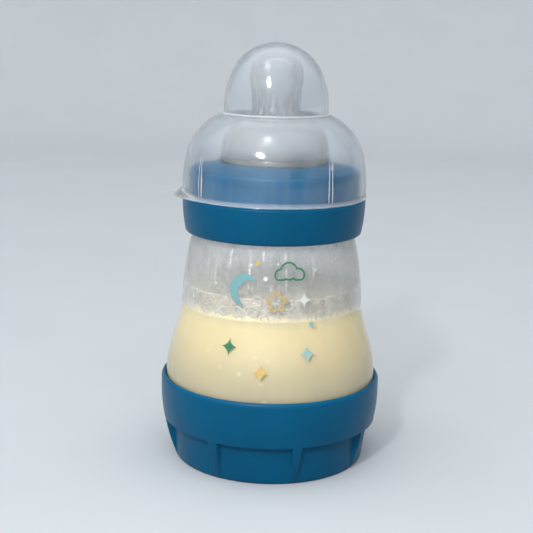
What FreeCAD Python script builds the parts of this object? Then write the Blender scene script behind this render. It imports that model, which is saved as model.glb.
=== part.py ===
import FreeCAD, Part
import math
import os

# A small self-vented baby bottle, in millimetres. Z runs up the axis of the bottle from the plane
# that it stands on, and the printed front faces -Y.

# Share of a rounded corner's size from the corner to the middle of its arc
ROUND = 0.3

# Clearances
GAP = 0.3                  # between faces of pieces that turn or slide past each other
FILL_GAP = 0.2             # between the contents and the inside of the bottle
NECK_THREAD_ROOM = 1.3     # from the root of an outer thread to the root of its mating thread
BASE_THREAD_ROOM = 2.0

# Walls
BODY_WALL = 1.5
NECK_WALL = 1.6
BASE_WALL = 1.3
COLLAR_WALL = 1.5
CAP_WALL = 1.1
TEAT_WALL = 1.8

# Base cup, from the foot upwards
FOOT_HEIGHT = 1.6          # hollow under the floor, inside the foot ring
FOOT_WIDTH = 2.0
FLOOR = 1.6
CHAMBER_HEIGHT = 8.0       # air space under the valve
HEEL_HEIGHT = 1.1
HEEL_WIDTH = 1.4
HEEL_WALL = 1.7
LEDGE_OVERLAP = 0.2        # how far the ledge reaches in past the wall of the bottle above it
CUP_BULGE = 1.0            # how far the side of the cup swells past a straight line
BAND_HEIGHT = 5.4          # straight band under the rim
RIM_HEIGHT = 2.4           # lip of the cup around the flange of the bottle
PANEL_COUNT = 8
PANEL_TOP = 12.5
PANEL_FOOT = 0.9
PANEL_WALL = 1.2
PANEL_FIRST_RIB = 15.2     # degrees from the front, towards +X
RIB_ANGLE = 5.4            # degrees
VENT_COUNT = 6
VENT_R = 1.0
VENT_CIRCLE_R = 8.0

# Vent valve
VALVE_RIM_HEIGHT = 1.8
VALVE_RIM_WIDTH = 2.3
MEMBRANE = 1.0
MEMBRANE_DROP = 2.4
MEMBRANE_SLOPE_WIDTH = 7.6
SLIT_LENGTH = 9.0
SLIT_WIDTH = 0.4

# Bottle
SKIRT_R = 33.85
FLANGE_WIDTH = 2.85        # step from the skirt in to the lower neck
FLANGE_SLOPE = 0.8         # how far the inside runs down below the flange to the lower neck
LOWER_NECK_HEIGHT = 12.3
SKIRT_BAND = 2.7
SKIRT_TURN_SHARE = 0.5     # where the skirt turns from swelling out to drawing in, between waist and skirt
SKIRT_TURN_HEIGHT = 12.5
SKIRT_SWELL = 0.5
SKIRT_DRAW = 0.15
WAIST_R = 28.9
WAIST_HEIGHT = 9.2
BARREL_SWELL = 1.03
BARREL_HEIGHT = 27.1
NECK_R = 24.2
NECK_STEP = 0.6
NECK_HEIGHT = 14.2

# Contents
MILK_TOP = 50.0
FROTH_HEIGHT = 7.5

# Teat
FLANGE_HEIGHT = 1.6
FLANGE_SEAT = 4.3          # width of the flat part of the flange
TEAT_RISE = 1.75           # rise of the cone inside the collar
BEAD_REACH = 1.0           # from the waist of the teat out to the bead
BEAD_HEIGHT = 1.5
DOME_SIDE_HEIGHT = 6.85
DOME_SIDE_DRAW = 1.1
DOME_SIDE_SWELL = 0.3
DOME_TOP_HEIGHT = 4.9
DOME_TOP_SWELL = 1.9
THROAT_R = 9.2
NIPPLE_HEIGHT = 19.9
NIPPLE_WIDTH = 16.6
NIPPLE_DEPTH = 11.0
MILK_HOLE_R = 0.4
# Sections of the nipple above the throat, as shares of its width, its depth and its height
NIPPLE_SECTIONS = (
    (0.83, 1.08, 0.2),
    (0.96, 1.02, 0.45),
    (1.0, 1.0, 0.66),
    (0.92, 0.92, 0.86),
    (0.66, 0.66, 0.96),
    (0.22, 0.22, 1.0),
)

# Screw collar
SHOULDER_WIDTH = 2.0       # step that the cap sits on
COLLAR_FOOT_WALL = 0.6
COLLAR_FOOT_ROUND = 0.9
COLLAR_SWELL = 0.25
COLLAR_DROP = 17.2         # from the neck rim down to the lower edge of the collar
SHOULDER_DROP = 6.1        # from the neck rim down to the shoulder that the cap sits on
SKIRT_BORE_STEP = 1.1      # from the thread bore out to the bore below it
COLLAR_TOP = 1.5
COLLAR_TOP_ROUND = 1.2
COLLAR_HOLE_R = 16.6

# Protective cap
CAP_OVERHANG = 0.3         # of the rim past the collar
CAP_RIM_HEIGHT = 1.3
CAP_RIM_STEP = 0.2
CAP_WALL_HEIGHT = 13.1
CAP_WALL_DRAW = 1.5
CAP_WALL_SWELL = 0.45
CAP_SHOULDER_HEIGHT = 11.4
CAP_SHOULDER_SWELL = 2.6
TURRET_R = 16.4
TURRET_HEIGHT = 11.7
TURRET_TURN_R = 14.5
TURRET_SWELL = 0.6
TURRET_DOME_HEIGHT = 10.2
GRIP_RIB_COUNT = 4
GRIP_RIB_FIRST = 37.0      # degrees from the front, towards +X
GRIP_RIB_WIDTH = 1.2
GRIP_RIB_HEIGHT = 12.0
TAB_REACH = 2.6
TAB_HEIGHT = 2.4
TAB_EDGE = 0.5
TAB_HALF_ANGLE = 40.0      # degrees each way from -X

# Heights that follow
floor_z = FOOT_HEIGHT + FLOOR
ledge_z = floor_z + CHAMBER_HEIGHT
body_z = ledge_z + VALVE_RIM_HEIGHT
flange_z = body_z + LOWER_NECK_HEIGHT
rim_step_z = flange_z - GAP
rim_z = rim_step_z + RIM_HEIGHT
band_z = rim_z - BAND_HEIGHT
skirt_z = flange_z + SKIRT_BAND
turn_z = skirt_z + SKIRT_TURN_HEIGHT
waist_z = turn_z + WAIST_HEIGHT
barrel_z = waist_z + BARREL_HEIGHT
neck_z = barrel_z + NECK_HEIGHT
collar_seat_z = neck_z + FLANGE_HEIGHT
collar_z = neck_z - COLLAR_DROP
shoulder_z = neck_z - SHOULDER_DROP
cap_z = shoulder_z + GAP

# Radii that follow
lower_neck_r = SKIRT_R - FLANGE_WIDTH
skirt_turn_r = WAIST_R + (SKIRT_R - WAIST_R) * SKIRT_TURN_SHARE
lower_mouth_r = lower_neck_r - BODY_WALL
chamber_r = lower_mouth_r - LEDGE_OVERLAP
pocket_r = lower_neck_r + GAP
lower_thread_r = lower_neck_r + BASE_THREAD_ROOM
heel_r = chamber_r + HEEL_WALL
foot_r = heel_r - HEEL_WIDTH
rim_r = SKIRT_R + GAP
base_r = rim_r + BASE_WALL
mouth_r = NECK_R - NECK_WALL
collar_bore_r = NECK_R + NECK_THREAD_ROOM
collar_upper_r = collar_bore_r + COLLAR_WALL
skirt_bore_r = collar_bore_r + SKIRT_BORE_STEP
collar_foot_r = skirt_bore_r + COLLAR_FOOT_WALL
collar_r = collar_upper_r + SHOULDER_WIDTH
waist_of_teat_r = COLLAR_HOLE_R - GAP
bead_r = waist_of_teat_r + BEAD_REACH
cap_rim_r = collar_r + CAP_OVERHANG
cap_wall_r = cap_rim_r - CAP_RIM_STEP


def at(r, z):
    """Point of an outline, r from the axis and z up."""
    return FreeCAD.Vector(r, 0, z)


def swell(start, end, amount):
    """Middle of an arc that stands off the straight line from start to end, away from the axis."""
    return ((start[0] + end[0]) / 2 + amount, (start[1] + end[1]) / 2)


def outline(start, *moves):
    """Closed wire through (r, z) points. A move is an end point, or the middle and end points of an arc."""
    edges = []
    here = start
    for move in moves + (start,):
        if isinstance(move[0], tuple):
            middle, end = move
            edges.append(Part.Arc(at(*here), at(*middle), at(*end)).toShape())
        else:
            end = move
            edges.append(Part.LineSegment(at(*here), at(*end)).toShape())
        here = end
    return Part.Wire(edges)


def turned(start, *moves):
    """Solid turned about Z from the outline of half its section."""
    face = Part.Face(outline(start, *moves))
    return face.revolve(FreeCAD.Vector(), FreeCAD.Vector(0, 0, 1), 360)


def cylinder(radius, z, height, x=0, y=0):
    return Part.makeCylinder(radius, height, FreeCAD.Vector(x, y, z))


def from_front(shape, degrees):
    """Turns a shape that lies along +X to an angle from the front, towards +X."""
    turned_shape = shape.copy()
    turned_shape.rotate(FreeCAD.Vector(), FreeCAD.Vector(0, 0, 1), degrees - 90)
    return turned_shape


def ellipse(half_width, half_depth, z):
    """Wire of an ellipse that is wide along X."""
    curve = Part.Ellipse(FreeCAD.Vector(0, 0, z), half_width, half_depth)
    return Part.Wire(curve.toShape())


def base_cup():
    """Screw-on foot: a cup with a ledge for the valve, and recessed panels between ribs below its band."""
    heel = (heel_r, HEEL_HEIGHT)
    band = (base_r, band_z)
    lip = BASE_WALL / 2
    cup = turned(
        (0, FOOT_HEIGHT),
        (foot_r - FOOT_WIDTH, FOOT_HEIGHT),
        (foot_r - FOOT_WIDTH, 0),
        (foot_r, 0),
        ((heel_r - HEEL_WIDTH * ROUND, HEEL_HEIGHT * ROUND), heel),
        (swell(heel, band, CUP_BULGE), band),
        (base_r, rim_z - lip),
        ((base_r - lip, rim_z), (rim_r, rim_z - lip)),
        (rim_r, rim_step_z),
        (lower_thread_r, rim_step_z),
        (lower_thread_r, body_z + BASE_THREAD_ROOM),
        (pocket_r, body_z),
        (pocket_r, ledge_z),
        (chamber_r, ledge_z),
        (chamber_r, floor_z),
        (0, floor_z),
    )
    pitch = 360 / PANEL_COUNT
    section = outline(
        (pocket_r + PANEL_WALL, PANEL_TOP),
        (base_r + BASE_WALL, PANEL_TOP),
        (base_r + BASE_WALL, PANEL_FOOT),
        (heel_r + PANEL_FOOT - HEEL_HEIGHT, PANEL_FOOT),
    )
    panel = Part.Face(section).revolve(FreeCAD.Vector(), FreeCAD.Vector(0, 0, 1), pitch - RIB_ANGLE)
    cuts = [from_front(panel, PANEL_FIRST_RIB + RIB_ANGLE / 2 + pitch * i) for i in range(PANEL_COUNT)]
    for i in range(VENT_COUNT):
        turn = 2 * math.pi * i / VENT_COUNT
        x = VENT_CIRCLE_R * math.cos(turn)
        y = VENT_CIRCLE_R * math.sin(turn)
        cuts.append(cylinder(VENT_R, FOOT_HEIGHT, FLOOR, x, y))
    return cup.cut(cuts)


def valve_rim_r():
    return lower_neck_r - VALVE_RIM_WIDTH


def membrane_top():
    """Rim, foot and height of the upper face of the dished membrane."""
    rim = (valve_rim_r(), body_z - MEMBRANE / 2)
    foot = (rim[0] - MEMBRANE_SLOPE_WIDTH, rim[1] - MEMBRANE_DROP)
    return rim, foot


def vent_valve():
    """Silicone disc that the bottle presses onto the ledge, with a dished membrane and a cross slit."""
    rim, foot = membrane_top()
    disc = turned(
        (0, foot[1] - MEMBRANE),
        (foot[0], foot[1] - MEMBRANE),
        (rim[0], max(rim[1] - MEMBRANE, ledge_z)),
        (rim[0], ledge_z),
        (lower_neck_r, ledge_z),
        (lower_neck_r, body_z),
        (rim[0], body_z),
        rim,
        foot,
        (0, foot[1]),
    )
    slit_z = foot[1] - 2 * MEMBRANE
    along = Part.makeBox(SLIT_LENGTH, SLIT_WIDTH, 3 * MEMBRANE)
    along.translate(FreeCAD.Vector(-SLIT_LENGTH / 2, -SLIT_WIDTH / 2, slit_z))
    across = from_front(along, 0)
    return disc.cut([along, across])


def body_side(inset):
    """Points of the side of the bottle from the skirt up to the neck step, moved in by inset."""
    skirt = (SKIRT_R - inset, skirt_z)
    turn = (skirt_turn_r - inset, turn_z)
    waist = (WAIST_R - inset, waist_z)
    barrel = (NECK_R + NECK_STEP - inset, barrel_z)
    return skirt, turn, waist, barrel


def bottle_body():
    """Clear bottle, open at both ends: a flared skirt, a waist and a barrel that narrows to the neck."""
    skirt, turn, waist, barrel = body_side(0)
    skirt_in, turn_in, waist_in, barrel_in = body_side(BODY_WALL)
    return turned(
        (lower_mouth_r, body_z),
        (lower_neck_r, body_z),
        (lower_neck_r, flange_z),
        (SKIRT_R, flange_z),
        skirt,
        (swell(skirt, turn, SKIRT_SWELL), turn),
        (swell(turn, waist, -SKIRT_DRAW), waist),
        (swell(waist, barrel, BARREL_SWELL), barrel),
        (NECK_R, barrel_z + NECK_STEP),
        (NECK_R, neck_z),
        (mouth_r, neck_z),
        (mouth_r, barrel_z + NECK_STEP),
        barrel_in,
        (swell(waist_in, barrel_in, BARREL_SWELL), waist_in),
        (swell(turn_in, waist_in, -SKIRT_DRAW), turn_in),
        (swell(skirt_in, turn_in, SKIRT_SWELL), skirt_in),
        (skirt_in[0], flange_z + BODY_WALL),
        (lower_mouth_r, flange_z - FLANGE_SLOPE),
    )


def inside_of_bottle():
    """Everything inside the bottle, down onto the valve, less the fill gap."""
    skirt, turn, waist, barrel = body_side(BODY_WALL + FILL_GAP)
    rim, foot = membrane_top()
    return turned(
        (0, foot[1] + GAP),
        (foot[0], foot[1] + GAP),
        (rim[0], body_z + GAP),
        (lower_mouth_r - FILL_GAP, body_z + GAP),
        (lower_mouth_r - FILL_GAP, flange_z - FLANGE_SLOPE + FILL_GAP),
        (skirt[0], flange_z + BODY_WALL + FILL_GAP),
        skirt,
        (swell(skirt, turn, SKIRT_SWELL), turn),
        (swell(turn, waist, -SKIRT_DRAW), waist),
        (swell(waist, barrel, BARREL_SWELL), barrel),
        (0, barrel_z),
    )


def slice_of_bottle(bottom_z, top_z):
    return inside_of_bottle().common(cylinder(2 * SKIRT_R, bottom_z, top_z - bottom_z))


def milk():
    return slice_of_bottle(0, MILK_TOP)


def milk_froth():
    return slice_of_bottle(MILK_TOP, MILK_TOP + FROTH_HEIGHT)


def nipple(inset, throat_z):
    """Flattened tip of the teat, lofted from a round throat; inset moves its skin inwards."""
    tip_z = throat_top_z() + NIPPLE_HEIGHT - inset
    width = NIPPLE_WIDTH / 2 - inset
    depth = NIPPLE_DEPTH / 2 - inset
    throat = THROAT_R - inset
    rise = tip_z - throat_z
    wires = [ellipse(throat, throat, throat_z)]
    for across, deep, share in NIPPLE_SECTIONS:
        wires.append(ellipse(width * across, depth * deep, throat_z + rise * share))
    return Part.makeLoft(wires, True)


def cone_z():
    return collar_seat_z + TEAT_RISE


def bead_z():
    """Underside of the bead, clear of the top of the collar around the hole."""
    return cone_z() + COLLAR_TOP + GAP


def dome_turn_z():
    return bead_z() + BEAD_HEIGHT + DOME_SIDE_HEIGHT


def throat_top_z():
    return dome_turn_z() + DOME_TOP_HEIGHT


def teat():
    """Silicone teat: a flange under the collar, a waist in its hole, a bead, a dome and a flat nipple."""
    flat_r = NECK_R - FLANGE_SEAT
    bead_top = (bead_r - GAP, bead_z() + BEAD_HEIGHT)
    dome_turn = (bead_top[0] - DOME_SIDE_DRAW, dome_turn_z())
    throat = (THROAT_R, throat_top_z())
    skin = turned(
        (0, neck_z),
        (NECK_R, neck_z),
        (NECK_R, collar_seat_z),
        (flat_r, collar_seat_z),
        (waist_of_teat_r, cone_z()),
        (waist_of_teat_r, bead_z()),
        (bead_top[0], bead_z()),
        ((bead_r, bead_z() + BEAD_HEIGHT / 2), bead_top),
        (swell(bead_top, dome_turn, DOME_SIDE_SWELL), dome_turn),
        (swell(dome_turn, throat, DOME_TOP_SWELL), throat),
        (0, throat[1]),
    )
    inner_bead = (waist_of_teat_r - TEAT_WALL, bead_z() + BEAD_HEIGHT)
    inner_turn = (dome_turn[0] - TEAT_WALL, dome_turn[1] - TEAT_WALL / 2)
    inner_throat = (THROAT_R - TEAT_WALL, throat[1] - TEAT_WALL)
    hollow = turned(
        (0, neck_z),
        (flat_r, neck_z),
        (waist_of_teat_r - TEAT_WALL, cone_z()),
        inner_bead,
        inner_turn,
        (swell(inner_turn, inner_throat, DOME_TOP_SWELL), inner_throat),
        (0, inner_throat[1]),
    )
    outside = skin.fuse(nipple(0, throat[1]))
    inside = hollow.fuse(nipple(TEAT_WALL, inner_throat[1]))
    milk_hole = cylinder(MILK_HOLE_R, throat[1], 2 * NIPPLE_HEIGHT)
    return outside.cut([inside, milk_hole]).removeSplitter()


def screw_ring():
    """Collar that screws onto the neck and clamps the flange of the teat. The cap sits on its shoulder."""
    foot = (collar_foot_r, collar_z)
    heel = (collar_foot_r + COLLAR_FOOT_ROUND, collar_z + COLLAR_FOOT_ROUND)
    foot_round = COLLAR_FOOT_ROUND * ROUND
    brow = (collar_r, shoulder_z - GAP)
    top_z = collar_seat_z + COLLAR_TOP
    top_round = COLLAR_TOP_ROUND * ROUND
    hole_top_z = cone_z() + COLLAR_TOP
    hole_edge = COLLAR_TOP / 2
    hole_round = hole_edge * ROUND
    return turned(
        (skirt_bore_r, collar_z),
        foot,
        ((heel[0] - foot_round, collar_z + foot_round), heel),
        (swell(heel, brow, COLLAR_SWELL), brow),
        (collar_r - GAP, shoulder_z),
        (collar_upper_r, shoulder_z),
        (collar_upper_r, top_z - COLLAR_TOP_ROUND),
        ((collar_upper_r - top_round, top_z - top_round), (collar_upper_r - COLLAR_TOP_ROUND, top_z)),
        (COLLAR_HOLE_R + hole_edge, hole_top_z),
        ((COLLAR_HOLE_R + hole_round, hole_top_z - hole_round), (COLLAR_HOLE_R, hole_top_z - hole_edge)),
        (COLLAR_HOLE_R, cone_z()),
        (NECK_R - FLANGE_SEAT + GAP, collar_seat_z),
        (collar_bore_r, collar_seat_z),
        (collar_bore_r, shoulder_z - COLLAR_WALL),
        (skirt_bore_r, shoulder_z - COLLAR_WALL - (skirt_bore_r - collar_bore_r)),
    )


def cap_outside():
    """Solid inside the outer face of the cap: a wall, a rounded shoulder and a domed turret."""
    wall = (cap_wall_r, cap_z + CAP_RIM_HEIGHT)
    turn = (cap_wall_r - CAP_WALL_DRAW, wall[1] + CAP_WALL_HEIGHT)
    ledge = (TURRET_R, turn[1] + CAP_SHOULDER_HEIGHT)
    brow = (TURRET_TURN_R, ledge[1] + TURRET_HEIGHT)
    top = (0, brow[1] + TURRET_DOME_HEIGHT)
    dome_r = (TURRET_TURN_R ** 2 + TURRET_DOME_HEIGHT ** 2) / (2 * TURRET_DOME_HEIGHT)
    half_turn = math.asin(TURRET_TURN_R / dome_r) / 2
    dome_middle = (dome_r * math.sin(half_turn), top[1] - dome_r * (1 - math.cos(half_turn)))
    return turned(
        (0, cap_z),
        (cap_wall_r, cap_z),
        wall,
        (swell(wall, turn, CAP_WALL_SWELL), turn),
        (swell(turn, ledge, CAP_SHOULDER_SWELL), ledge),
        (swell(ledge, brow, TURRET_SWELL), brow),
        (dome_middle, top),
    )


def thumb_tab():
    """Lip on the rim of the cap at -X, cut by an eccentric circle so that it fades into the rim."""
    tip_r = cap_rim_r + TAB_REACH
    root_r = cap_wall_r - CAP_WALL / 2
    lip = turned(
        (root_r, cap_z),
        (tip_r, cap_z),
        (tip_r, cap_z + TAB_EDGE),
        (cap_rim_r, cap_z + TAB_HEIGHT),
        (root_r, cap_z + TAB_HEIGHT),
    )
    fade = tip_r - cap_rim_r * math.cos(math.radians(TAB_HALF_ANGLE))
    offset = (tip_r ** 2 - cap_rim_r ** 2) / (2 * fade)
    return lip.common(cylinder(tip_r - offset, cap_z, TAB_HEIGHT, -offset))


def protective_cap():
    """Clear cap over the teat, with a rim band, a thumb tab and inner ribs that grip the collar."""
    outside = cap_outside()
    mouth = min(outside.Faces, key=lambda face: face.CenterOfMass.z)
    shell = outside.makeThickness([mouth], -CAP_WALL, 0.001)
    root_r = cap_wall_r - CAP_WALL / 2
    band = cylinder(cap_rim_r, cap_z, CAP_RIM_HEIGHT).cut(cylinder(root_r, cap_z, CAP_RIM_HEIGHT))
    grip_r = collar_upper_r + GAP
    rib = Part.makeBox(cap_rim_r - grip_r, GRIP_RIB_WIDTH, GRIP_RIB_HEIGHT)
    rib.translate(FreeCAD.Vector(grip_r, -GRIP_RIB_WIDTH / 2, cap_z + CAP_RIM_HEIGHT))
    rib = rib.common(outside)
    pitch = 360 / GRIP_RIB_COUNT
    ribs = [from_front(rib, GRIP_RIB_FIRST + pitch * i) for i in range(GRIP_RIB_COUNT)]
    return shell.fuse([band, thumb_tab()] + ribs).removeSplitter()


pieces = {
    "base_cup": base_cup,
    "vent_valve": vent_valve,
    "bottle_body": bottle_body,
    "milk": milk,
    "milk_froth": milk_froth,
    "teat": teat,
    "screw_ring": screw_ring,
    "protective_cap": protective_cap,
}

os.makedirs("parts", exist_ok=True)
for name, make in pieces.items():
    make().exportStep("parts/" + name + ".step")
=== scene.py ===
import math

import bmesh
import bpy
from mathutils import Matrix, Vector


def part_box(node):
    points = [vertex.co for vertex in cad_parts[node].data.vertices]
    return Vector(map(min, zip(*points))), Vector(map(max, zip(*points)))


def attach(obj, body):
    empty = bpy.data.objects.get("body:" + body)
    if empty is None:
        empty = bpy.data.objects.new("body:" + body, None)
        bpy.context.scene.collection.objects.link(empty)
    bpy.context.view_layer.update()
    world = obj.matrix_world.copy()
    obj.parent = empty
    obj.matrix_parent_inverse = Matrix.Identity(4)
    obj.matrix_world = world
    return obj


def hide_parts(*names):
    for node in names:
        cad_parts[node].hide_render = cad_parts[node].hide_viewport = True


# A small baby bottle with milk in it. Sizes here are in millimetres, and meshes in metres.

MM = 0.001

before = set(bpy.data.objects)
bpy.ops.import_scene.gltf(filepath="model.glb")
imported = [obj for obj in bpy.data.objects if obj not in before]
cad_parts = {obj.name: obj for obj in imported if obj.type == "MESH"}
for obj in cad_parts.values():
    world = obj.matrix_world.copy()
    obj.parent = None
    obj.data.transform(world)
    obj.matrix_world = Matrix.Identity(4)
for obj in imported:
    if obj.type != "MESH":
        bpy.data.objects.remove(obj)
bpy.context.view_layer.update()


def node_mm(node):
    """Radius, lowest and highest height of a CAD node, in millimetres."""
    low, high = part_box(node)
    return high.x / MM, low.z / MM, high.z / MM


# Sizes read from the frame
base_r, _, rim_z = node_mm("base_cup")
_, neck_z, teat_tip_z = node_mm("teat")
_, body_z, _ = node_mm("bottle_body")
collar_r, collar_z, collar_top_z = node_mm("screw_ring")
cap_rim_r, cap_z, cap_top_z = node_mm("protective_cap")
_, froth_z, froth_top_z = node_mm("milk_froth")

# Sizes of the pieces, as in the part's source
GAP = 0.3
BODY_WALL = 1.5
SKIRT_R = 33.85
SKIRT_TOP_Z = 28.0
WAIST_R = 28.9
WAIST_Z = 49.7
BARREL_Z = 76.8
NECK_R = 24.2
MOUTH_R = 22.6
LOWER_NECK_R = 31.0
FLANGE_Z = 25.3
FLANGE_SLOPE = 0.8
LEDGE_Z = 11.2
FLOOR_Z = 3.2
SHOULDER_Z = 84.9
COLLAR_BORE_R = 25.5
COLLAR_UPPER_R = 27.0
COLLAR_HOLE_R = 16.6
CAP_WALL = 1.1
TEAT_WALL = 1.8
THREAD_LEAD = 4.0

SEGMENTS = 192


# Outlines

def arc_points(start, middle, end, step):
    """Points after start along the circle through three (r, z) points, about step apart."""
    (ax, ay), (mx, my), (bx, by) = start, middle, end
    d = 2 * (ax * (my - by) + mx * (by - ay) + bx * (ay - my))
    a2, m2, b2 = ax * ax + ay * ay, mx * mx + my * my, bx * bx + by * by
    cx = (a2 * (my - by) + m2 * (by - ay) + b2 * (ay - my)) / d
    cy = (a2 * (bx - mx) + m2 * (ax - bx) + b2 * (mx - ax)) / d
    radius = math.hypot(ax - cx, ay - cy)
    first = math.atan2(ay - cy, ax - cx)
    sweep = (math.atan2(by - cy, bx - cx) - first) % math.tau
    if (math.atan2(my - cy, mx - cx) - first) % math.tau > sweep:
        sweep -= math.tau
    count = max(3, math.ceil(abs(sweep) * radius / step))
    turns = [first + sweep * i / count for i in range(1, count + 1)]
    return [(cx + radius * math.cos(t), cy + radius * math.sin(t)) for t in turns]


def outline(start, *moves, step=0.6):
    """Points through (r, z) places. A move is an end point, or the middle and end points of an arc."""
    points = [start]
    for move in moves:
        here = points[-1]
        if isinstance(move[0], tuple):
            points += arc_points(here, *move, step)
        else:
            count = max(1, math.ceil(math.dist(here, move) / (4 * step)))
            shares = [i / count for i in range(1, count + 1)]
            points += [tuple(a + (b - a) * s for a, b in zip(here, move)) for s in shares]
    return points


def inset(points, wall):
    """The outline moved towards its left-hand side by wall, which is inwards where it rises."""
    moved = []
    for i, (r, z) in enumerate(points):
        before = points[max(i - 1, 0)]
        after = points[min(i + 1, len(points) - 1)]
        dr, dz = after[0] - before[0], after[1] - before[1]
        length = math.hypot(dr, dz)
        moved.append((max(r - wall * dz / length, 0), z + wall * dr / length))
    return moved


def radius_at(points, z):
    """Radius of a rising outline at height z, or its last radius outside its heights."""
    for (r0, z0), (r1, z1) in zip(points, points[1:]):
        if z0 <= z <= z1 and z1 > z0:
            return r0 + (r1 - r0) * (z - z0) / (z1 - z0)
    return points[-1][0]


def ease(low, high, value):
    """Smooth step from 0 at low to 1 at high."""
    share = min(max((value - low) / (high - low), 0), 1)
    return share * share * (3 - 2 * share)


# Turns about Z, in degrees from the front towards +X

def even_turns(count=SEGMENTS):
    return [360 * i / count for i in range(count)]


def off_nearest(turn, first, count):
    """Degrees from a turn to the nearest of a count of evenly spaced turns."""
    pitch = 360 / count
    return abs((turn - first + pitch / 2) % pitch - pitch / 2)


def turns_about(first, count, offsets):
    """Turns at offsets to both sides of each of a count of evenly spaced turns."""
    middles = [first + 360 / count * i for i in range(count)]
    return {(middle + side * off) % 360 for middle in middles for off in offsets for side in (-1, 1)}


def on_circle(r, turn, z):
    """Point at a radius, a turn and a height."""
    return r * math.sin(math.radians(turn)), -r * math.cos(math.radians(turn)), z


# Meshes

def new_object(name, data):
    """Object of a mesh, a lamp or a camera, put in the scene."""
    made = bpy.data.objects.new(name, data)
    bpy.context.scene.collection.objects.link(made)
    return made


def mesh_object(name, verts, faces, sharp=35):
    """Object at the origin from points in millimetres, smooth except at edges sharper than the angle."""
    mesh = bpy.data.meshes.new(name)
    mesh.from_pydata([Vector(v) * MM for v in verts], [], faces)
    form = bmesh.new()
    form.from_mesh(mesh)
    bmesh.ops.remove_doubles(form, verts=form.verts, dist=1e-7)
    bmesh.ops.recalc_face_normals(form, faces=form.faces)
    form.to_mesh(mesh)
    form.free()
    mesh.polygons.foreach_set("use_smooth", [True] * len(mesh.polygons))
    mesh.set_sharp_from_angle(angle=math.radians(sharp))
    return new_object(name, mesh)


def grid_faces(rows, columns, closed=True, first=0):
    """Quads between rows of points. The last column joins the first where the rows are closed."""
    faces = []
    for i in range(rows - 1):
        low, high = first + columns * i, first + columns * (i + 1)
        for j in range(columns if closed else columns - 1):
            k = (j + 1) % columns
            faces.append((low + j, low + k, high + k, high + j))
    return faces


def lathe(name, profile, turns=None, form=None, sharp=35):
    """Skin turned about Z from (r, z) points. form(turn, r, z) gives a point's own radius and height.

    A point on the axis makes a ring of one, with triangles round it.
    """
    turns = turns or even_turns()
    verts, rings = [], []
    for r, z in profile:
        if r < 1e-6:
            rings.append([len(verts)])
            verts.append((0, 0, z))
            continue
        rings.append(list(range(len(verts), len(verts) + len(turns))))
        for turn in turns:
            pr, pz = form(turn, r, z) if form else (r, z)
            verts.append(on_circle(pr, turn, pz))
    pairs = list(zip(rings, rings[1:]))
    if len(rings[0]) > 1:
        pairs.append((rings[-1], rings[0]))
    faces = []
    for low, high in pairs:
        for i in range(len(turns)):
            j = (i + 1) % len(turns)
            corners = (low[i % len(low)], low[j % len(low)], high[j % len(high)], high[i % len(high)])
            faces.append(tuple(dict.fromkeys(corners)))
    return mesh_object(name, verts, faces, sharp)


def dress(piece, body, material, slot, *nodes):
    """Gives a piece its material and body, and hides the CAD nodes that it stands for. Its slot is not used.
    """
    piece.data.materials.clear()
    piece.data.materials.append(material)
    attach(piece, body)
    if nodes:
        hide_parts(*nodes)


def let_light_in(piece):
    """Clear plastic casts no shadow, so that lamps reach what it holds."""
    piece.visible_shadow = False


def shape_of(piece):
    """New mesh of a piece as its modifiers make it."""
    return bpy.data.meshes.new_from_object(piece.evaluated_get(bpy.context.evaluated_depsgraph_get()))


def cut_holes(piece, cutter, count, circle_r):
    """Cuts a ring of holes, even about Z, with one cutter that is used up."""
    for i in range(count):
        turn = math.tau * i / count
        cutter.location = Vector((math.cos(turn), math.sin(turn), 0)) * circle_r * MM
        bpy.context.view_layer.update()
        cut = piece.modifiers.new("hole", "BOOLEAN")
        cut.operation = "DIFFERENCE"
        cut.object = cutter
        mesh = shape_of(piece)
        piece.modifiers.remove(cut)
        piece.data = mesh
    bpy.data.objects.remove(cutter)


# Node trees

def socket(source):
    """A socket as it is, or the first output of a node."""
    return source.outputs[0] if isinstance(source, bpy.types.Node) else source


def add(tree, kind, values=None, links=None, **settings):
    """Adds a node with its settings, socket values and links from sockets or nodes."""
    node = tree.nodes.new(kind)
    for key, value in settings.items():
        setattr(node, key, value)
    for key, value in (values or {}).items():
        node.inputs[key].default_value = value
    for key, source in (links or {}).items():
        tree.links.new(socket(source), node.inputs[key])
    return node


def feed(shader, key, source):
    """Links a node or a socket to an input of a shader."""
    shader.id_data.links.new(socket(source), shader.inputs[key])


def new_tree(name, sizes):
    """Geometry node tree with a geometry input, named inputs for its sizes and a geometry output."""
    tree = bpy.data.node_groups.new(name, "GeometryNodeTree")
    tree.interface.new_socket("Geometry", in_out="INPUT", socket_type="NodeSocketGeometry")
    for key, kind in sizes.items():
        tree.interface.new_socket(key, in_out="INPUT", socket_type="NodeSocket" + kind)
    tree.interface.new_socket("Geometry", in_out="OUTPUT", socket_type="NodeSocketGeometry")
    return tree, tree.nodes.new("NodeGroupInput").outputs


def end_tree(tree, shape, material):
    """Closes a tree: instances become mesh, shaded smooth, in one material."""
    real = add(tree, "GeometryNodeRealizeInstances", links={"Geometry": shape})
    smooth = add(tree, "GeometryNodeSetShadeSmooth", links={"Geometry": real})
    coated = add(tree, "GeometryNodeSetMaterial", {"Material": material}, {"Geometry": smooth})
    add(tree, "NodeGroupOutput", links={"Geometry": coated})


def grown(name, tree, ground, values):
    """Plain mesh object that a tree makes from a ground object, which is used up."""
    change = ground.modifiers.new(name, "NODES")
    change.node_group = tree
    for item in tree.interface.items_tree:
        if item.in_out == "INPUT" and item.name in values:
            change[item.identifier] = values[item.name]
    mesh = shape_of(ground)
    ground.modifiers.remove(change)
    bpy.data.objects.remove(ground)
    mesh.name = name
    return new_object(name, mesh)


# Materials

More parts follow.
